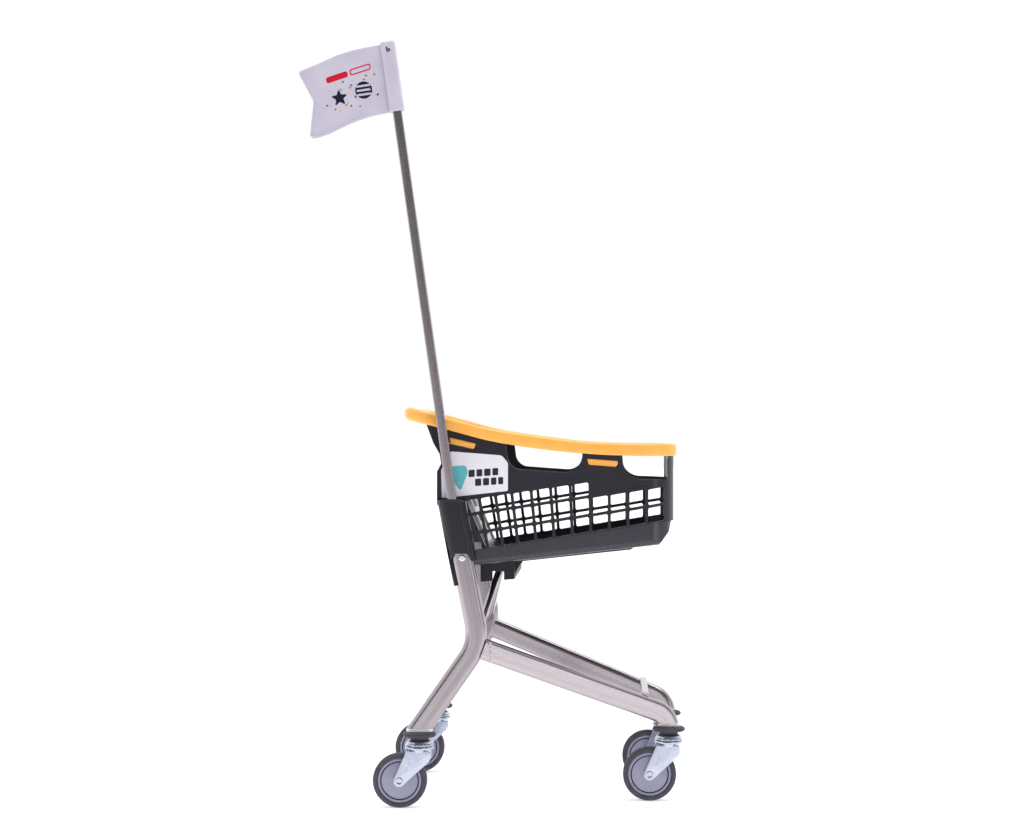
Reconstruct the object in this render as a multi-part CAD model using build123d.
from build123d import *
import os
from math import atan, cos, degrees, radians, sin, tan

# Child's supermarket trolley with a flag pole.
# Working frame: X forwards, Y to the left, Z up from the floor, X = 0 midway between the swivels.
# The basket and all that it carries are drawn in a basket frame, whose X = 0 is COLUMN_SETBACK ahead
# of the columns' tops, so the basket goes wherever the legs take it.
# Everything is moved along X once, at the end, so that the origin is under the middle of the cart.

# ---------------------------------------------------------------- driving dimensions (mm, degrees)
WHEELBASE = 346.0
FRONT_TRACK = 182.0
LEG_CLEARANCE = 15.65

# Clearances
RUNNING_FIT = 0.08
SWIVEL_GAP = 0.3
SLIP_FIT = 0.3
FACE_GAP = 0.3

# Casters
WHEEL_DIAMETER = 75.0
TYRE_WIDTH = 22.0
TYRE_ROUND = 5.0
TYRE_DEPTH = 7.0
HUB_WIDTH = 17.0
HUB_BOSS_DIAMETER = 16.0
HUB_RIM = 3.7
HUB_GROOVE_WIDTH = 1.6
AXLE_DIAMETER = 8.0
AXLE_HEAD_DIAMETER = 10.5
AXLE_HEAD_HEIGHT = 2.0
TRAIL = 27.0
FORK_PLATE = 2.2
FORK_INSIDE = 24.0
FORK_EYE_RADIUS = 8.0
FORK_FRONT_REACH = 15.5
FORK_REAR_REACH = 18.0
FORK_FRONT_DROP = 11.0
RACE_DIAMETER = 39.5
CROWN_CLEARANCE = 2.0
CROWN_HEIGHT = 7.9
CUP_HEIGHT = 8.0
NECK_DIAMETER = 26.0
NECK_HEIGHT = 4.2
BUMPER_DIAMETER = 46.0
BUMPER_HEIGHT = 7.0
BALL_DIAMETER = 4.0
BALL_CIRCLE_DIAMETER = 28.0
BALL_COUNT = 12
STEM_DIAMETER = 8.0
STEM_HEAD_DIAMETER = 14.0
STEM_HEAD_HEIGHT = 3.4
STEM_GRIP = 14.0
PLUG_FLANGE = 4.5
PLUG_DEPTH = 20.0

# Flat-oval steel tube
TUBE_DEPTH = 30.0
TUBE_THICKNESS = 15.0
TUBE_WALL = 1.3
LEG_BEND = 65.0
LEG_KNEE_HEIGHT = 226.5
LEG_TOP_HEIGHT = 384.0
LEG_UPPER_LEAN = 11.0
LEG_LOWER_LEAN = 35.0
FRONT_LEG_BEND = 28.0
FRONT_KNEE_RISE = 11.1
FRONT_LEG_INSET = 4.66
FRONT_LEG_DROP = 7.08
TIE_SETBACK = 33.0
TIE_HEIGHT = 16.0
TIE_DEPTH = 10.0
TIE_RISE = 12.0
BRACE_DEPTH = 18.0
BRACE_THICKNESS = 9.0
BRACE_FOOT_HEIGHT = 238.0
BRACE_HEAD = (-66.0, 316.0)
BRACE_HEAD_Y = 46.0

# Basket
HALF_WIDTH = 138.0
TAPER = 0.1
BASKET_REAR_X = -150.0
BASKET_FRONT_X = 180.0
BASKET_CORNER = 36.0
PANEL_WALL = 4.0
PANEL_RECESS = 1.2
WINDOW_CORNER = 2.4
GRILLE_WALL = 5.5
TUB_WALL = 3.0
TUB_REAR_X = -100.0
ROW_SLOPE = 0.148
ROW_BASE_HEIGHT = 368.5
ROW_HEIGHTS = (0.0, 25.0, 51.0, 73.0)
STEP_X = 66.0
TUB_BOTTOM_HEIGHT = 343.5
TUB_BOTTOM_SLOPE = 0.11
RIB_WIDTH = 4.2
RIB_PITCH = 26.2
REAR_RIB_PITCH = 22.2
RIB_LEAN = 0.18
RIB_REFERENCE_HEIGHT = 395.0

# Handle rim that runs round the whole basket
RIM_REAR_X = -197.0
RIM_NOSE = 4.0
RIM_OVERHANG = 5.0
RIM_WIDTH = 16.0
RIM_REAR_CORNER = 32.0
RIM_FRONT_CORNER = 38.0
TONGUE_THICKNESS = 2.6
HOOK_REACH = 2.4
HOOK_CLEARANCE = 0.8
TONGUE_END_GAP = 6.0

# Columns that hold the basket on the rear legs
COLUMN_WALL = 4.0
COLUMN_SETBACK = 129.05
COLUMN_TOP_HEIGHT = 424.0
COLUMN_ARCH_HEIGHT = 351.0
COLUMN_FLAP_HEIGHT = 306.0
LEG_SCREW_HEIGHT = 345.0
LEG_SCREW_DIAMETER = 5.0
LEG_SCREW_HEAD_DIAMETER = 9.5
LEG_SCREW_HEAD_HEIGHT = 2.75

# Crossbeam and runners under the tub
BEAM_REAR_X = -91.0
BEAM_FRONT_X = -43.0
BEAM_BOTTOM = 309.0
BEAM_END_INSET = 14.0
BEAM_WALL = 3.0
NOTCH_LENGTH = 16.0
RUNNER_Y = 62.0
RUNNER_WIDTH = 10.0
RUNNER_DEPTH = 5.0
RUNNER_REAR_X = -40.0
RUNNER_FRONT_X = 128.0

# Gate
GATE_HINGE = (-143.0, 497.0)
GATE_ROD_DIAMETER = 6.0
GATE_BARREL_DIAMETER = 13.0
GATE_PANEL = 4.0
GATE_LENGTH = 168.0
GATE_SIDE_GAP = 3.0
GATE_LEAN = 22.5
GATE_SLOT_PITCH = 26.0
GATE_SLOT_ROWS = (-38.0, -126.0)
GATE_LABEL_WIDTH = 96.0
GATE_LABEL_LENGTH = 118.0

# Panels
AD_THICKNESS = 1.6
AD_CORNER = 8.0
LABEL_THICKNESS = 0.8

# Flag pole and flag
POLE_WIDTH = 12.7
POLE_WALL = 1.0
POLE_CORNER = 2.0
POLE_LEAN = 8.07
POLE_OFFSET = 1.45
SOCKET_WALL = 1.15
POLE_FOOT_HEIGHT = 392.0
POLE_TOP_HEIGHT = 1056.0
FLAG_THICKNESS = 3.0
SLEEVE_FACE_WALL = 2.15
SLEEVE_EDGE_WALL = 3.9
SLEEVE_BOTTOM_HEIGHT = 963.5
SLEEVE_TOP_HEIGHT = 1059.5
FLAG_SCREW_DROP = 12.0
FLAG_SCREW_DIAMETER = 4.0

# ---------------------------------------------------------------- derived places
REAR_X = -WHEELBASE / 2
FRONT_X = WHEELBASE / 2
AXLE_Z = WHEEL_DIAMETER / 2
HUB_DIAMETER = WHEEL_DIAMETER - 2 * TYRE_DEPTH
HUB_GROOVE_DIAMETER = HUB_DIAMETER - 2 * HUB_RIM
CROWN_BOTTOM = WHEEL_DIAMETER + CROWN_CLEARANCE
CROWN_TOP = CROWN_BOTTOM + CROWN_HEIGHT
CUP_BOTTOM = CROWN_TOP + SWIVEL_GAP
CUP_TOP = CUP_BOTTOM + CUP_HEIGHT
BUMPER_BOTTOM = CUP_TOP + NECK_HEIGHT
BUMPER_TOP = BUMPER_BOTTOM + BUMPER_HEIGHT
LEG_END = BUMPER_TOP + PLUG_FLANGE
LEG_Y = HALF_WIDTH + RIM_OVERHANG + LEG_CLEARANCE + POLE_WIDTH / 2
KNEE_X = REAR_X + (LEG_KNEE_HEIGHT - LEG_END) * tan(radians(LEG_LOWER_LEAN))
FRONT_KNEE_HEIGHT = LEG_END + FRONT_KNEE_RISE
FRONT_LEG_START_X = KNEE_X + FRONT_LEG_INSET
FRONT_LEG_RISE = (LEG_KNEE_HEIGHT - FRONT_LEG_DROP - FRONT_KNEE_HEIGHT) / (FRONT_X - FRONT_LEG_START_X)
TIE_X = FRONT_X - TIE_SETBACK
COLUMN_X = KNEE_X - (COLUMN_TOP_HEIGHT - LEG_KNEE_HEIGHT) * tan(radians(LEG_UPPER_LEAN))
COLUMN_DEPTH = TUBE_DEPTH + 2 * COLUMN_WALL
COLUMN_THICKNESS = TUBE_THICKNESS + 2 * COLUMN_WALL
BASKET_X = COLUMN_X + COLUMN_SETBACK
RIM_FRONT_X = BASKET_FRONT_X + RIM_NOSE
BEAM_HALF_LENGTH = HALF_WIDTH - BEAM_END_INSET
POLE_FOOT_X = COLUMN_X + POLE_OFFSET
SOCKET_THICKNESS = POLE_WIDTH + 2 * SOCKET_WALL
SLEEVE_THICKNESS = POLE_WIDTH + 2 * SLEEVE_FACE_WALL
SLEEVE_DEPTH = POLE_WIDTH + 2 * SLEEVE_EDGE_WALL
WALL_TURN = degrees(atan(TAPER))
BIG = 700.0


def half_width(x):
    """Outer face of the basket wall at x."""
    return HALF_WIDTH - TAPER * x


def row_height(row, x):
    """Centre line of a horizontal grille rib at x."""
    return ROW_BASE_HEIGHT + ROW_HEIGHTS[row] + ROW_SLOPE * x


def tub_bottom(x):
    return TUB_BOTTOM_HEIGHT + TUB_BOTTOM_SLOPE * x


def leg_x(z):
    """Centre line of a rear leg above its knee."""
    return KNEE_X - (z - LEG_KNEE_HEIGHT) * tan(radians(LEG_UPPER_LEAN))


def pole_x(z):
    return POLE_FOOT_X - (z - COLUMN_TOP_HEIGHT) * tan(radians(POLE_LEAN))


def side_prism(face, near, far):
    """Extrude a sketch drawn in X and Z from y = near to y = far."""
    return Pos(0, near, 0) * extrude(Plane.XZ * face, amount=far - near, dir=(0, 1, 0))


def plan_prism(face, low, high):
    return Pos(0, 0, low) * extrude(face, amount=high - low, dir=(0, 0, 1))


def block(low, high):
    """Box between two corners."""
    size = [h - l for l, h in zip(low, high)]
    return Pos(*low) * Box(*size, align=(Align.MIN, Align.MIN, Align.MIN))


def upright(radius, low, high, x=0.0, y=0.0):
    return Pos(x, y, low) * Cylinder(radius, high - low, align=(Align.CENTER, Align.CENTER, Align.MIN))


def across(radius, near, far, x, z):
    """Cylinder along Y from near to far."""
    middle = (near + far) / 2
    return Pos(x, middle, z) * Rot(90, 0, 0) * Cylinder(radius, far - near)


def mirrored(shape):
    return mirror(shape, about=Plane.XZ)


# ---------------------------------------------------------------- casters
def caster_place(end, side):
    x = FRONT_X if end == "front" else REAR_X
    reach = FRONT_TRACK / 2 if end == "front" else LEG_Y
    return Pos(x, side * reach, 0)


def tyre():
    ring = Cylinder(WHEEL_DIAMETER / 2, TYRE_WIDTH)
    ring = fillet(ring.edges(), TYRE_ROUND)
    ring -= Cylinder(HUB_DIAMETER / 2, TYRE_WIDTH)
    return Pos(-TRAIL, 0, AXLE_Z) * Rot(90, 0, 0) * ring


def hub():
    disc = Cylinder(HUB_DIAMETER / 2, HUB_WIDTH)
    boss = Cylinder(HUB_BOSS_DIAMETER / 2, FORK_INSIDE - 2 * FACE_GAP)
    groove = Cylinder(HUB_GROOVE_DIAMETER / 2, HUB_GROOVE_WIDTH)
    groove -= Cylinder(HUB_GROOVE_DIAMETER / 2 - HUB_GROOVE_WIDTH, HUB_GROOVE_WIDTH)
    body = disc + boss
    for side in (-1, 1):
        body -= Pos(0, 0, side * HUB_WIDTH / 2) * groove
    body -= Cylinder(AXLE_DIAMETER / 2 + RUNNING_FIT, FORK_INSIDE)
    return Pos(-TRAIL, 0, AXLE_Z) * Rot(90, 0, 0) * body


def fork():
    crown = upright(RACE_DIAMETER / 2, CROWN_BOTTOM, CROWN_TOP)
    crown = fillet(crown.edges().sort_by(Axis.Z)[0], 1.5)
    outline = Polyline(
        (-FORK_REAR_REACH, CROWN_BOTTOM + 1),
        (FORK_FRONT_REACH, CROWN_BOTTOM + 1),
        (FORK_FRONT_REACH, CROWN_BOTTOM - FORK_FRONT_DROP),
    )
    eye = Pos(-TRAIL, AXLE_Z) * Circle(FORK_EYE_RADIUS)
    cheek = make_hull(outline.edges() + eye.edges())
    yoke = crown
    for side in (-1, 1):
        inside = FORK_INSIDE / 2
        near, far = sorted((side * inside, side * (inside + FORK_PLATE)))
        yoke += side_prism(cheek, near, far)
    yoke -= upright(STEM_DIAMETER / 2 + RUNNING_FIT, CROWN_BOTTOM, CROWN_TOP)
    yoke -= across(AXLE_DIAMETER / 2, -BIG / 2, BIG / 2, -TRAIL, AXLE_Z)
    yoke -= ball_track()
    return yoke


def ball_track():
    track = Torus(BALL_CIRCLE_DIAMETER / 2, BALL_DIAMETER / 2 + SWIVEL_GAP)
    return Pos(0, 0, CROWN_TOP + SWIVEL_GAP / 2) * track


def axle():
    half = FORK_INSIDE / 2 + FORK_PLATE
    shaft = across(AXLE_DIAMETER / 2, -half, half, -TRAIL, AXLE_Z)
    for side in (-1, 1):
        near, far = sorted((side * half, side * (half + AXLE_HEAD_HEIGHT)))
        shaft += across(AXLE_HEAD_DIAMETER / 2, near, far, -TRAIL, AXLE_Z)
    return shaft


def swivel_cup():
    cup = upright(RACE_DIAMETER / 2, CUP_BOTTOM, CUP_TOP)
    cup = chamfer(cup.edges().sort_by(Axis.Z)[-1], 3.0)
    cup -= upright(STEM_DIAMETER / 2, CUP_BOTTOM, CUP_TOP)
    return cup - ball_track()


def swivel_balls():
    seat = Pos(0, 0, CROWN_TOP + SWIVEL_GAP / 2)
    return [seat * place * Sphere(BALL_DIAMETER / 2)
            for place in PolarLocations(BALL_CIRCLE_DIAMETER / 2, BALL_COUNT)]


def bumper_disc():
    disc = upright(BUMPER_DIAMETER / 2, BUMPER_BOTTOM, BUMPER_TOP)
    disc = fillet(disc.edges(), BUMPER_HEIGHT * 0.45)
    neck = upright(NECK_DIAMETER / 2, CUP_TOP, BUMPER_BOTTOM)
    return disc + neck - upright(STEM_DIAMETER / 2, CUP_TOP, BUMPER_TOP)


def stem():
    head_top = CROWN_BOTTOM - FACE_GAP
    shaft = upright(STEM_DIAMETER / 2, head_top, LEG_END + STEM_GRIP)
    return shaft + upright(STEM_HEAD_DIAMETER / 2, head_top - STEM_HEAD_HEIGHT, head_top)


# ---------------------------------------------------------------- steel frame
def oval_sweep(points, bend, depth, thickness, flat_normal):
    """Sweep a flat oval along straight runs joined by arcs; flat_normal faces its flat side."""
    path = FilletPolyline(*points, radius=bend) if bend else Polyline(*points)
    direction = path % 0
    section = Plane(origin=path @ 0, x_dir=direction.cross(Vector(*flat_normal)), z_dir=direction)
    return sweep(section * SlotOverall(depth, thickness), path=path)


def rear_leg_solid(inset=0.0):
    """Rear leg at y = 0 as a filled bar, inset all round."""
    low = LEG_END - 12
    high = LEG_TOP_HEIGHT + 12
    points = [
        (leg_x(high), 0, high),
        (KNEE_X, 0, LEG_KNEE_HEIGHT),
        (REAR_X - 12 * tan(radians(LEG_LOWER_LEAN)), 0, low),
    ]
    depth, thickness = TUBE_DEPTH - 2 * inset, TUBE_THICKNESS - 2 * inset
    bar = oval_sweep(points, LEG_BEND, depth, thickness, (0, 1, 0))
    return bar & block((-BIG, -BIG, 0), (BIG, BIG, LEG_TOP_HEIGHT))


def floor_cut(height):
    return block((-BIG, -BIG, -BIG), (BIG, BIG, height))


def rear_leg():
    tube = rear_leg_solid() - rear_leg_solid(TUBE_WALL) - floor_cut(LEG_END)
    hole = across(LEG_SCREW_DIAMETER / 2, -TUBE_THICKNESS, 0, leg_x(LEG_SCREW_HEIGHT), LEG_SCREW_HEIGHT)
    return Pos(0, -LEG_Y, 0) * (tube - hole)


def front_leg_solid(inset=0.0):
    """Right front leg as a filled bar; it runs outwards and up from the front caster."""
    inner = FRONT_TRACK / 2
    back = FRONT_X - FRONT_LEG_START_X
    points = [
        (FRONT_LEG_START_X, -LEG_Y, FRONT_KNEE_HEIGHT + back * FRONT_LEG_RISE),
        (FRONT_X, -inner, FRONT_KNEE_HEIGHT),
        (FRONT_X, -inner, LEG_END - 12),
    ]
    spread = LEG_Y - inner
    normal = Vector(spread, -back, 0).normalized()
    depth, thickness = TUBE_DEPTH - 2 * inset, TUBE_THICKNESS - 2 * inset
    return oval_sweep(points, FRONT_LEG_BEND, depth, thickness, tuple(normal))


def front_leg():
    tube = front_leg_solid() - front_leg_solid(TUBE_WALL) - floor_cut(LEG_END)
    leg = Pos(0, -LEG_Y, 0) * rear_leg_solid()
    return (tube - leg).solids().sort_by(SortBy.VOLUME)[-1]


def leg_plug(end):
    """Plastic plug in a leg's end, at y = 0 for the rear and in place for the front."""
    if end == "rear":
        filled, width, y = rear_leg_solid(TUBE_WALL + 0.15), TUBE_DEPTH / cos(radians(LEG_LOWER_LEAN)), 0
        x = REAR_X
    else:
        filled, width, y = front_leg_solid(TUBE_WALL + 0.15), TUBE_DEPTH, -FRONT_TRACK / 2
        x = FRONT_X
    body = filled & block((x - 60, y - 60, LEG_END), (x + 60, y + 60, LEG_END + PLUG_DEPTH))
    flange = Pos(x, y, BUMPER_TOP) * extrude(SlotOverall(width, TUBE_THICKNESS), amount=PLUG_FLANGE)
    plug = flange + body
    return plug - upright(STEM_DIAMETER / 2, BUMPER_TOP, LEG_END + STEM_GRIP, x, y)


def front_leg_middle(x):
    """Height and half spacing of the front legs' centre line at x."""
    height = FRONT_KNEE_HEIGHT + (FRONT_X - x) * FRONT_LEG_RISE
    share = (FRONT_X - x) / (FRONT_X - FRONT_LEG_START_X)
    return height, FRONT_TRACK / 2 + share * (LEG_Y - FRONT_TRACK / 2)


def cross_tie():
    height, reach = front_leg_middle(TIE_X)
    bar = Box(TIE_DEPTH, 2 * reach, TIE_HEIGHT)
    bar = fillet(bar.edges().filter_by(Axis.Y), 3)
    bar = Pos(TIE_X, 0, height + TIE_RISE) * bar
    leg = front_leg_solid()
    return bar - leg - mirrored(leg)


def brace():
    foot = (leg_x(BRACE_FOOT_HEIGHT), -LEG_Y, BRACE_FOOT_HEIGHT)
    head = (BASKET_X + BRACE_HEAD[0], -BRACE_HEAD_Y, BRACE_HEAD[1])
    bar = oval_sweep([foot, head], 0, BRACE_DEPTH, BRACE_THICKNESS, (1, 0, -0.35))
    return bar - Pos(0, -LEG_Y, 0) * rear_leg_solid()


# ---------------------------------------------------------------- basket
def rim_underside():
    """Curve of the rim's lower face, seen from the side."""
    return [(RIM_REAR_X, 537.5), (-134, 521.5), (-77, 506.5), (-20, 497), (53, 489), (110, 486),
            (RIM_FRONT_X + 16, 485.5)]


def rim_top():
    return [(RIM_REAR_X, 556), (-134, 538.5), (-77, 523.5), (-20, 514.5), (53, 505.5), (110, 503),
            (RIM_FRONT_X + 16, 502.5)]


def above_curve(points):
    """Everything over a curve drawn in X and Z."""
    curve = Spline(*points)
    start, end = points[0], points[-1]
    lid = Polyline(end, (end[0], BIG), (start[0], BIG), start)
    return side_prism(make_face(curve.edges() + lid.edges()), -BIG / 2, BIG / 2)


def plan_outline(offset, rear_x, front_x, rear_corner, front_corner):
    """Tapered plan of the basket, offset outwards from its wall."""
    rear_half = half_width(rear_x) + offset
    front_half = half_width(front_x) + offset
    face = Polygon((rear_x, -rear_half), (front_x, -front_half), (front_x, front_half),
                   (rear_x, rear_half), align=None)
    ends = face.vertices().group_by(Axis.X)
    if rear_corner:
        face = fillet(ends[0], rear_corner)
        ends = [None, face.vertices().group_by(Axis.X)[-1]]
    return fillet(ends[-1], front_corner)


def rim_handle():
    outer = plan_outline(RIM_OVERHANG, RIM_REAR_X, RIM_FRONT_X, RIM_REAR_CORNER, RIM_FRONT_CORNER)
    inner = plan_outline(RIM_OVERHANG - RIM_WIDTH, RIM_REAR_X + RIM_WIDTH, RIM_FRONT_X - RIM_WIDTH,
                         RIM_REAR_CORNER - RIM_WIDTH, RIM_FRONT_CORNER - RIM_WIDTH)
    ring = plan_prism(outer - inner, 470, 570)
    ring = (ring & above_curve(rim_underside())) - above_curve(rim_top())
    for slot in TONGUE_SLOTS:
        for side in (-1, 1):
            ring += snap_tongue(slot, side)
    return ring


# Snap slots in the side wall: rear X, front X, height of the slot's middle at the rear and at the front
TONGUE_SLOTS = ((-133.0, -96.0, 507.0, 498.5), (58.0, 102.0, 477.5, 474.0))
SLOT_HEIGHT = 9.0


def slot_face(slot, end_inset, side_inset):
    """Slot that follows the rim, drawn in by end_inset at its ends and side_inset along its sides."""
    rear, front, z_rear, z_front = slot
    slope = (z_front - z_rear) / (front - rear)
    half = SLOT_HEIGHT / 2 - side_inset
    x0, x1 = rear + end_inset, front - end_inset
    z0, z1 = z_rear + slope * end_inset, z_front - slope * end_inset
    return Polygon((x0, z0 - half), (x1, z1 - half), (x1, z1 + half), (x0, z0 + half), align=None)


def wall_slab(outer_offset, thickness):
    """Right wall's slab, standing BIG high and long, with its outer face outer_offset out of the wall."""
    depth = thickness
    slab = Box(2 * BIG, depth, 2 * BIG, align=(Align.CENTER, Align.MIN, Align.CENTER))
    lean = Rot(0, 0, WALL_TURN)
    outward = (HALF_WIDTH + outer_offset / cos(radians(WALL_TURN)))
    return Pos(0, -outward, 0) * lean * slab


def snap_tongue(slot, side):
    """Tongue behind the wall with a hook that fills most of the slot."""
    rear, front, z_rear, z_front = slot
    x0, x1 = rear + TONGUE_END_GAP, front - TONGUE_END_GAP
    strap = Polygon((x0, z_rear - 3), (x1, z_front - 3), (x1, 540), (x0, 540), align=None)
    behind = wall_slab(-PANEL_WALL - FACE_GAP, TONGUE_THICKNESS)
    strap_solid = (side_prism(strap, -BIG / 2, 0) & behind) - above_curve(rim_underside())
    hook_slab = wall_slab(-PANEL_WALL - FACE_GAP + HOOK_REACH, HOOK_REACH + TONGUE_THICKNESS)
    hook_face = slot_face(slot, TONGUE_END_GAP, HOOK_CLEARANCE)
    tongue = strap_solid + (side_prism(hook_face, -BIG / 2, 0) & hook_slab)
    return tongue if side < 0 else mirrored(tongue)


def panel_outline():
    """Upper part of a side wall, between the grille and the rim."""
    step = STEP_X + RIB_WIDTH / 2
    front = BASKET_FRONT_X - BASKET_CORNER
    return Polygon(
        (-165, 560), (-165, 531), (-155, 504), (-146, 488), (-144, 475), (BASKET_REAR_X, 464),
        (BASKET_REAR_X, row_height(3, BASKET_REAR_X)), (step, row_height(3, step)),
        (step, row_height(2, step)), (front, row_height(2, front)), (front, 560), align=None)


def hand_opening():
    face = Polygon((-62, 560), (-50, 468), (50, 461.3), (57, 560), align=None)
    face = fillet([corner for corner in face.vertices() if corner.Y < 475 and corner.X < 0], 20)
    return fillet([corner for corner in face.vertices() if corner.Y < 475 and corner.X > 30], 25)


def front_opening():
    face = Polygon((104, 560), (109.5, 454), (171, 452), (172, 560), align=None)
    return fillet([corner for corner in face.vertices() if corner.Y < 475 and corner.X < 150], 27)


def panel_recesses():
    """Sunk faces of the side wall, under the hand opening and down the web beside it."""
    border = RIB_WIDTH / 2 + 0.6
    low_rear, low_front = row_height(3, -44) + border, row_height(3, STEP_X) + border
    under = Polygon((-44, 460), (-44, low_rear), (50, low_front - 2), (50, 456), align=None)
    web_x = STEP_X + RIB_WIDTH + 2
    web = Polygon((web_x, 466), (web_x, row_height(2, web_x) + border), (140, row_height(2, 140) + border),
                  (112, 449), (101, 458), (98, 466), align=None)
    return [under, web]


def side_panel():
    slab = side_prism(panel_outline(), -BIG / 2, 0) & wall_slab(0, PANEL_WALL)
    slab -= side_prism(hand_opening(), -BIG / 2, 0)
    slab -= side_prism(front_opening(), -BIG / 2, 0)
    for slot in TONGUE_SLOTS:
        slab -= side_prism(slot_face(slot, 0, 0), -BIG / 2, 0)
    skin = wall_slab(1, 1 + PANEL_RECESS)
    for face in panel_recesses():
        slab -= side_prism(face, -BIG / 2, 0) & skin
    slab -= above_curve(rim_underside())
    slab += gate_boss()
    return slab - across(GATE_ROD_DIAMETER / 2, -BIG / 2, 0, *GATE_HINGE)


def gate_boss():
    """Boss inside the wall that carries the gate's rod."""
    x, z = GATE_HINGE
    inside = half_width(x) - PANEL_WALL
    return across(GATE_BARREL_DIAMETER / 2, -inside - 1, -inside + 2.0, x, z)


def rib_line(index):
    """X of an upright rib at the reference height, counted from the front."""
    front_count = 8
    first = BASKET_FRONT_X - 12.0
    if index <= front_count:
        return first - index * RIB_PITCH
    return first - front_count * RIB_PITCH - (index - front_count) * REAR_RIB_PITCH


RIB_COUNT = 12


def rib_x(index, z):
    """X of an upright rib at a height: the rear ribs lean back."""
    x = rib_line(index)
    lean = RIB_LEAN * max(0.0, min(1.0, (80.0 - x) / 175.0))
    return x - lean * (z - RIB_REFERENCE_HEIGHT)


def window(index, row):
    """One window between ribs index and index + 1, above a row line."""
    half = RIB_WIDTH / 2
    x_front, x_rear = rib_line(index), rib_line(index + 1)
    corners = []
    for rib, inward, line, lift in ((index + 1, half, row, half), (index, -half, row, half),
                                    (index, -half, row + 1, -half), (index + 1, half, row + 1, -half)):
        x_guess = x_front if rib == index else x_rear
        z = row_height(line, x_guess) + lift
        corners.append((rib_x(rib, z) + inward, z))
    face = Polygon(*corners, align=None)
    return fillet(face.vertices(), WINDOW_CORNER)


def side_windows():
    faces = []
    for index in range(RIB_COUNT - 1):
        rows = 3 if rib_line(index) < STEP_X else 2
        faces += [window(index, row) for row in range(rows)]
    return faces


def grille_outline():
    half = RIB_WIDTH / 2
    step = STEP_X + half
    front = BASKET_FRONT_X - BASKET_CORNER
    return Polygon(
        (BASKET_REAR_X, row_height(3, BASKET_REAR_X)), (step, row_height(3, step)),
        (step, row_height(2, step)), (front, row_height(2, front)), (front, row_height(0, front)),
        (-112, row_height(0, -112)), align=None)


def side_grille():
    slab = side_prism(grille_outline(), -BIG / 2, 0) & wall_slab(0, GRILLE_WALL)
    cutters = [side_prism(face, -BIG / 2, 0) for face in side_windows()]
    return slab - cutters


def basket_ring(thickness):
    """Front of the basket as a wall that bends round both corners."""
    outer = plan_outline(0, BASKET_REAR_X, BASKET_FRONT_X, 0, BASKET_CORNER)
    inner = plan_outline(-thickness, BASKET_REAR_X - 50, BASKET_FRONT_X - thickness, 0,
                         BASKET_CORNER - thickness)
    return outer - inner


def basket_front():
    corner_x = BASKET_FRONT_X - BASKET_CORNER
    wall = plan_prism(basket_ring(GRILLE_WALL), 380, 520)
    wall &= block((corner_x, -BIG, 0), (BIG, BIG, BIG))
    wall -= above_curve(rim_underside())
    below = Polygon((-BIG, row_height(0, -BIG)), (BIG, row_height(0, BIG)), (BIG, -BIG), (-BIG, -BIG),
                    align=None)
    wall -= side_prism(below, -BIG / 2, BIG / 2)
    wall -= side_prism(front_opening(), -BIG / 2, BIG / 2)
    for row in (0, 1):
        wall -= side_prism(window(0, row), -BIG / 2, BIG / 2)
    return wall - front_windows()


def front_windows():
    """Windows in the front face: two rows under one wide hand opening."""
    pitch = RIB_PITCH
    columns = int(2 * (half_width(BASKET_FRONT_X) - BASKET_CORNER) / pitch)
    cutters = []
    base = row_height(0, BASKET_FRONT_X) + RIB_WIDTH / 2
    height = ROW_HEIGHTS[1] - RIB_WIDTH
    for row in (0, 1):
        low = base + row * (height + RIB_WIDTH)
        for column in range(columns):
            left = (column - columns / 2) * pitch + RIB_WIDTH / 2
            corner = (BIG, left + pitch - RIB_WIDTH, low + height)
            cutters.append(block((BASKET_FRONT_X - 20, left, low), corner))
    cutters.append(block((BASKET_FRONT_X - 20, -60, 458), (BIG, 60, 480)))
    return cutters


def tub_profile(inset):
    """Side view of the tub; inset lifts the floor and draws in the front."""
    floor = lambda x: tub_bottom(x) + inset
    front = BASKET_FRONT_X - 7 - inset
    top = 420 if inset else None
    points = [(TUB_REAR_X - inset, floor(TUB_REAR_X - inset)), (front - 14, floor(front - 14)),
              (front, floor(front) + 17)]
    for x in (front + 3, TUB_REAR_X - inset):
        points.append((x, top if top else row_height(0, x)))
    return Polygon(*points, align=None)


def basket_tub():
    def mass(inset):
        plan = plan_outline(-inset, TUB_REAR_X - 20, BASKET_FRONT_X - inset, 0, BASKET_CORNER - inset)
        top = plan_prism(plan, 300, 430)
        return side_prism(tub_profile(inset), -BIG / 2, BIG / 2) & top
    return mass(0) - mass(TUB_WALL)


# ---------------------------------------------------------------- columns and caps
def column_frame(y):
    """Frame on a rear leg's centre line at the column's top, z axis down the leg."""
    return Pos(leg_x(COLUMN_TOP_HEIGHT), y, COLUMN_TOP_HEIGHT) * Rot(0, -LEG_UPPER_LEAN, 0)


def leg_prism(face, top, bottom, y):
    """Prism along the upper leg between two heights, cut level."""
    long = column_frame(y) * Pos(0, 0, -200) * extrude(face, amount=300)
    return long & block((-BIG, -BIG, bottom), (BIG, BIG, top))


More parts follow.
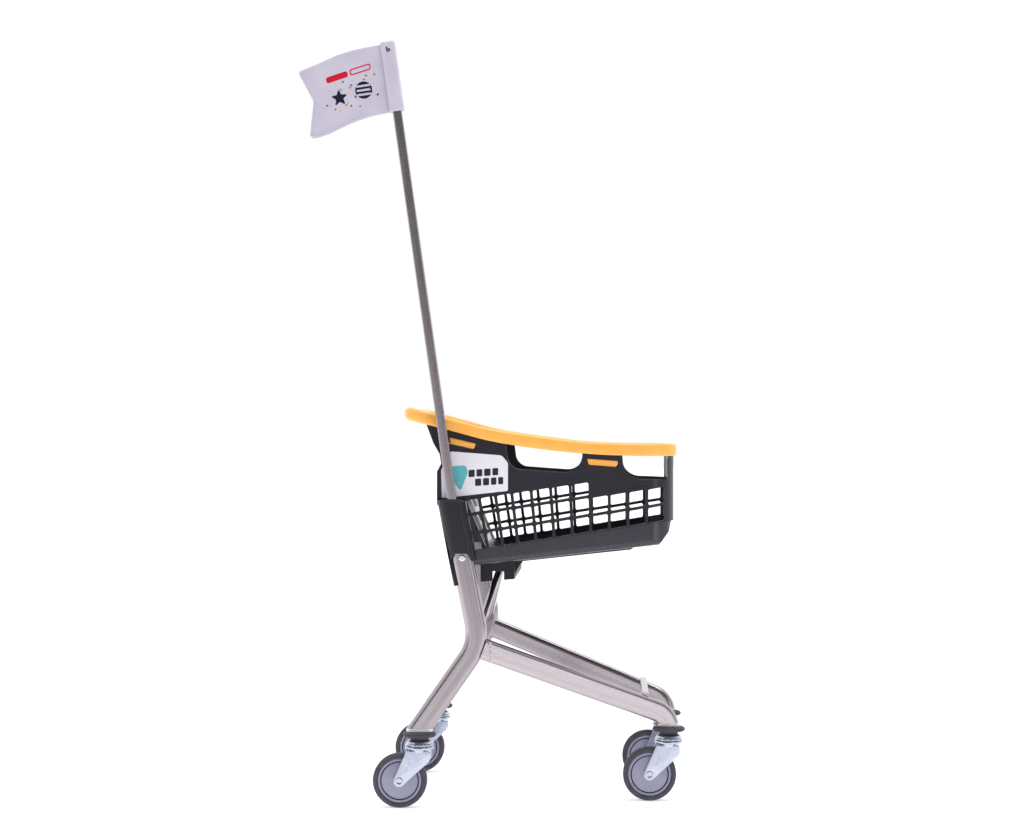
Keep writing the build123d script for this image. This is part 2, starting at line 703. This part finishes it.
def column():
    pocket = leg_prism(SlotOverall(TUBE_DEPTH + SLIP_FIT, TUBE_THICKNESS + SLIP_FIT),
                       LEG_TOP_HEIGHT, COLUMN_FLAP_HEIGHT, -LEG_Y)
    pocket += leg_prism(SlotOverall(TUBE_DEPTH + SLIP_FIT, SOCKET_THICKNESS + SLIP_FIT),
                        COLUMN_TOP_HEIGHT, LEG_TOP_HEIGHT, -LEG_Y)
    shell = leg_prism(SlotOverall(COLUMN_DEPTH, COLUMN_THICKNESS),
                      COLUMN_TOP_HEIGHT, COLUMN_FLAP_HEIGHT, -LEG_Y)
    inboard = LEG_Y - half_width(TUB_REAR_X) + 2
    web = Pos(0, inboard / 2) * Rectangle(COLUMN_DEPTH, inboard)
    body = shell + leg_prism(web, COLUMN_TOP_HEIGHT, COLUMN_ARCH_HEIGHT, -LEG_Y)
    arch_x = leg_x(COLUMN_ARCH_HEIGHT)
    half = TUBE_DEPTH / 2
    front_cut = Polygon(
        (arch_x - half - 0.5, COLUMN_ARCH_HEIGHT - 10), (arch_x - 8, COLUMN_ARCH_HEIGHT),
        (arch_x + 8, COLUMN_ARCH_HEIGHT), (arch_x + half + 2, COLUMN_ARCH_HEIGHT - 10),
        (arch_x + 60, COLUMN_ARCH_HEIGHT - 10), (arch_x + 60, 290), (leg_x(290) - half - 0.5, 290),
        align=None)
    body -= side_prism(front_cut, -LEG_Y - 30, -LEG_Y + 30)
    body -= pocket
    body -= Pos(BASKET_X, 0, 0) * wall_slab(0, 60)
    return body.solids().sort_by(SortBy.VOLUME)[-1]


def pocket_filler():
    """Plug that closes the column's pocket over the leg's end."""
    return leg_prism(SlotOverall(TUBE_DEPTH, SOCKET_THICKNESS), COLUMN_TOP_HEIGHT + 2, LEG_TOP_HEIGHT, -LEG_Y)


def pole_solid(width, corner, bottom, top):
    """Pole's outer form: a square tube that leans back."""
    frame = Pos(pole_x(bottom), -LEG_Y, bottom) * Rot(0, -POLE_LEAN, 0)
    length = (top - bottom) / cos(radians(POLE_LEAN))
    return frame * extrude(RectangleRounded(width, width, corner), amount=length)


def pole_socket():
    hole = pole_solid(POLE_WIDTH + 0.2, POLE_CORNER, POLE_FOOT_HEIGHT, POLE_FOOT_HEIGHT + 80)
    return pocket_filler() - hole


def leg_screw():
    x, z = leg_x(LEG_SCREW_HEIGHT), LEG_SCREW_HEIGHT
    face = -LEG_Y - TUBE_THICKNESS / 2
    shank = across(LEG_SCREW_DIAMETER / 2, face, face + TUBE_THICKNESS - TUBE_WALL, x, z)
    head = across(LEG_SCREW_HEAD_DIAMETER / 2, face - LEG_SCREW_HEAD_HEIGHT, face, x, z)
    head = fillet(head.edges().sort_by(Axis.Y)[0], 1.8)
    socket = Pos(x, face - LEG_SCREW_HEAD_HEIGHT, z) * Rot(90, 0, 0) * extrude(
        RegularPolygon(1.8, 6), amount=1.6, both=True)
    return shank + head - socket


# ---------------------------------------------------------------- crossbeam and runners
def support_beam():
    """Channel under the tub, open downwards, that the braces carry."""
    def channel(inset):
        x0, x1 = BEAM_REAR_X + inset, BEAM_FRONT_X - inset
        low = BEAM_BOTTOM - (1 if inset else 0)
        face = Polygon((x0, low), (x1, low + 4), (x1, tub_bottom(x1) - inset), (x0, tub_bottom(x0) - inset),
                       align=None)
        reach = BEAM_HALF_LENGTH - inset
        return side_prism(face, -reach, reach)
    beam = channel(0) - channel(BEAM_WALL)
    notch_x = BRACE_HEAD[0]
    gusset = Polygon((BEAM_FRONT_X, tub_bottom(BEAM_FRONT_X)), (BEAM_FRONT_X, 320),
                     (BEAM_FRONT_X + 11, tub_bottom(BEAM_FRONT_X + 11)), align=None)
    for side in (-1, 1):
        y = side * (BEAM_HALF_LENGTH - 12)
        beam += side_prism(gusset, y - 2, y + 2)
        notch = block((notch_x - NOTCH_LENGTH / 2, -BIG, 0), (notch_x + NOTCH_LENGTH / 2, BIG, 324))
        beam -= notch & block((-BIG, min(0, side * BIG), 0), (BIG, max(0, side * BIG), BIG))
    return beam


def runner(y):
    low = lambda x: tub_bottom(x) - RUNNER_DEPTH
    face = Polygon((RUNNER_REAR_X, tub_bottom(RUNNER_REAR_X)), (RUNNER_REAR_X, low(RUNNER_REAR_X)),
                   (RUNNER_FRONT_X - 8, low(RUNNER_FRONT_X - 8)),
                   (RUNNER_FRONT_X, tub_bottom(RUNNER_FRONT_X)), align=None)
    return side_prism(face, y - RUNNER_WIDTH / 2, y + RUNNER_WIDTH / 2)


# ---------------------------------------------------------------- gate
def gate_frame():
    """Frame at the hinge whose -Z runs down the gate and whose X is its face normal."""
    return Pos(GATE_HINGE[0], 0, GATE_HINGE[1]) * Rot(0, -GATE_LEAN, 0)


def gate_half(distance):
    """Half width of the gate at a distance from its hinge, narrow enough for the raised gate."""
    inner = half_width(GATE_HINGE[0] + distance) - GRILLE_WALL
    return inner - GATE_SIDE_GAP


def rear_gate():
    top, bottom = gate_half(0), gate_half(GATE_LENGTH)
    outline = Polygon((-top, 0), (top, 0), (bottom, -GATE_LENGTH), (-bottom, -GATE_LENGTH), align=None)
    outline = fillet(outline.vertices().group_by(Axis.Y)[0], 12)
    slots = []
    steps = int((bottom - GATE_SLOT_PITCH / 2) / GATE_SLOT_PITCH)
    for low in GATE_SLOT_ROWS:
        for step in range(-steps, steps + 1):
            middle = step * GATE_SLOT_PITCH
            if abs(middle) > GATE_LABEL_WIDTH / 2 + 7:
                slots.append(Pos(middle, low) * RectangleRounded(14, 52, 5))
    panel = extrude(outline - slots, amount=GATE_PANEL / 2, both=True)
    turn = Plane(origin=(0, 0, 0), x_dir=(0, 1, 0), z_dir=(1, 0, 0))
    panel = gate_frame() * turn.location * panel
    x, z = GATE_HINGE
    barrel_half = half_width(x) - PANEL_WALL - 2.0 - 0.5
    barrel = across(GATE_BARREL_DIAMETER / 2, -barrel_half, barrel_half, x, z)
    bore = across(GATE_ROD_DIAMETER / 2 + RUNNING_FIT, -BIG / 2, BIG / 2, x, z)
    return panel + barrel - bore


def gate_label():
    plate = extrude(RectangleRounded(GATE_LABEL_WIDTH, GATE_LABEL_LENGTH, 6), amount=LABEL_THICKNESS)
    turn = Plane(origin=(GATE_PANEL / 2, 0, -GATE_LENGTH / 2 - 4), x_dir=(0, 1, 0), z_dir=(1, 0, 0))
    return gate_frame() * turn.location * plate


def gate_rod():
    x, z = GATE_HINGE
    reach = half_width(x) - PANEL_WALL * 0.5
    return across(GATE_ROD_DIAMETER / 2, -reach, reach, x, z)


# ---------------------------------------------------------------- advertising panels
def ad_panel():
    face = Polygon((-131, 492), (-60, 486.5), (-51.5, 476), (-51.5, 437), (-143, 427), (-144, 466),
                   align=None)
    face = fillet(face.vertices().sort_by_distance((-60, 486.5))[0:1], AD_CORNER)
    return side_prism(face, -BIG / 2, 0) & wall_slab(AD_THICKNESS, AD_THICKNESS)


# ---------------------------------------------------------------- flag
def flag_frame():
    """Frame on the pole's centre line at the sleeve's foot: X forwards across the pole, Y up it."""
    lean = radians(POLE_LEAN)
    return Plane(origin=(pole_x(SLEEVE_BOTTOM_HEIGHT), -LEG_Y, SLEEVE_BOTTOM_HEIGHT),
                 x_dir=(cos(lean), 0, sin(lean)), z_dir=(0, -1, 0))


def flag_outline():
    """Swallow-tailed flag in the flag frame, with its two edges bowed."""
    length = SLEEVE_TOP_HEIGHT - SLEEVE_BOTTOM_HEIGHT
    fly = -SLEEVE_DEPTH / 2
    top = Spline((fly, length - 1), (-38, length - 2), (-68, length - 5.5), (-99, length - 14),
                 (-124, length - 20.5))
    tip_top = Polyline((-124, length - 20.5), (-128.5, length - 24), (-113.5, length - 65.5))
    notch = Polyline((-113.5, length - 65.5), (-125, length - 112), (-120, length - 116.5))
    bottom = Spline((-120, length - 116.5), (-103.5, length - 115), (-83, length - 108.6),
                    (-62, length - 102.5), (-41.5, length - 98.5), (fly, length - 96))
    hoist = Line((fly, length - 96), (fly, length - 1))
    return make_face(top.edges() + tip_top.edges() + notch.edges() + bottom.edges() + hoist.edges())


def flag():
    frame = flag_frame()
    length = (SLEEVE_TOP_HEIGHT - SLEEVE_BOTTOM_HEIGHT) / cos(radians(POLE_LEAN))
    sheet = extrude(frame * flag_outline(), amount=FLAG_THICKNESS / 2, both=True)
    sleeve_face = RectangleRounded(SLEEVE_DEPTH, SLEEVE_THICKNESS, 4)
    base = Pos(*frame.origin) * Rot(0, -POLE_LEAN, 0)
    sleeve = base * extrude(sleeve_face, amount=length)
    whole = sleeve + sheet
    whole -= pole_solid(POLE_WIDTH + 0.2, POLE_CORNER, SLEEVE_BOTTOM_HEIGHT - 20, POLE_TOP_HEIGHT)
    return whole - flag_screw_hole()


def flag_screw_place():
    z = SLEEVE_TOP_HEIGHT - FLAG_SCREW_DROP
    return pole_x(z), z


def flag_screw_hole():
    x, z = flag_screw_place()
    bore_end = -LEG_Y - POLE_WIDTH / 2 + POLE_WALL
    return across(FLAG_SCREW_DIAMETER / 2, -LEG_Y - SLEEVE_THICKNESS, bore_end, x, z)


def flag_pole():
    tube = pole_solid(POLE_WIDTH, POLE_CORNER, POLE_FOOT_HEIGHT, POLE_TOP_HEIGHT)
    tube -= pole_solid(POLE_WIDTH - 2 * POLE_WALL, POLE_CORNER - POLE_WALL, POLE_FOOT_HEIGHT, POLE_TOP_HEIGHT)
    return tube - flag_screw_hole()


def flag_screw():
    x, z = flag_screw_place()
    face = -LEG_Y - SLEEVE_THICKNESS / 2
    shank = across(FLAG_SCREW_DIAMETER / 2, face, -LEG_Y - POLE_WIDTH / 2 + POLE_WALL, x, z)
    return shank + across(FLAG_SCREW_DIAMETER / 2 + 1.4, face - 1.2, face, x, z)


# ---------------------------------------------------------------- assembly
def build():
    nodes = {}
    for end in ("rear", "front"):
        for name, side in (("right", -1), ("left", 1)):
            place = caster_place(end, side)
            tail = f"{end}_{name}"
            nodes[f"tyre_{tail}"] = place * tyre()
            nodes[f"hub_{tail}"] = place * hub()
            nodes[f"axle_{tail}"] = place * axle()
            nodes[f"fork_{tail}"] = place * fork()
            nodes[f"swivel_cup_{tail}"] = place * swivel_cup()
            nodes[f"bumper_disc_{tail}"] = place * bumper_disc()
    places = [caster_place(end, side) for end in ("rear", "front") for side in (-1, 1)]
    nodes["caster_stems"] = Compound([place * stem() for place in places])
    nodes["swivel_balls"] = Compound([place * ball for place in places for ball in swivel_balls()])

    leg = rear_leg()
    nodes["rear_leg_right"], nodes["rear_leg_left"] = leg, mirrored(leg)
    leg = front_leg()
    nodes["front_leg_right"], nodes["front_leg_left"] = leg, mirrored(leg)
    plug = leg_plug("rear")
    nodes["rear_leg_plugs"] = Compound([Pos(0, side * LEG_Y, 0) * plug for side in (-1, 1)])
    plug = leg_plug("front")
    nodes["front_leg_plugs"] = Compound([plug, mirrored(plug)])
    nodes["front_cross_tie"] = cross_tie()
    bar = brace()
    nodes["brace_right"], nodes["brace_left"] = bar, mirrored(bar)

    basket = {}
    basket["basket_tub"] = basket_tub()
    panel, grille = side_panel(), side_grille()
    basket["side_panel_right"], basket["side_panel_left"] = panel, mirrored(panel)
    basket["side_grille_right"], basket["side_grille_left"] = grille, mirrored(grille)
    basket["basket_front"] = basket_front()
    basket["rim_handle"] = rim_handle()
    basket["support_beam"] = support_beam()
    basket["runners"] = Compound([runner(side * RUNNER_Y) for side in (-1, 1)])
    sign = ad_panel()
    basket["ad_panel_right"], basket["ad_panel_left"] = sign, mirrored(sign)
    basket["rear_gate"] = rear_gate()
    basket["gate_label"] = gate_label()
    basket["gate_rod"] = gate_rod()
    for name, shape in basket.items():
        nodes[name] = Pos(BASKET_X, 0, 0) * shape

    post = column()
    nodes["column_right"], nodes["column_left"] = post, mirrored(post)
    screw = leg_screw()
    nodes["leg_screws"] = Compound([screw, mirrored(screw)])
    nodes["pole_socket"] = pole_socket()
    nodes["column_cap"] = mirrored(pocket_filler())
    nodes["flag_pole"] = flag_pole()
    nodes["flag"] = flag()
    nodes["flag_screw"] = flag_screw()
    return nodes


def main():
    os.makedirs("parts", exist_ok=True)
    nodes = build()
    rearmost = nodes["flag"].bounding_box().min.X
    foremost = FRONT_X + BUMPER_DIAMETER / 2
    centre = Pos(-(rearmost + foremost) / 2, 0, 0)
    print("cart moved along X by", round(-(rearmost + foremost) / 2, 3))
    for name, shape in nodes.items():
        export_step(centre * shape, f"parts/{name}.step")


main()
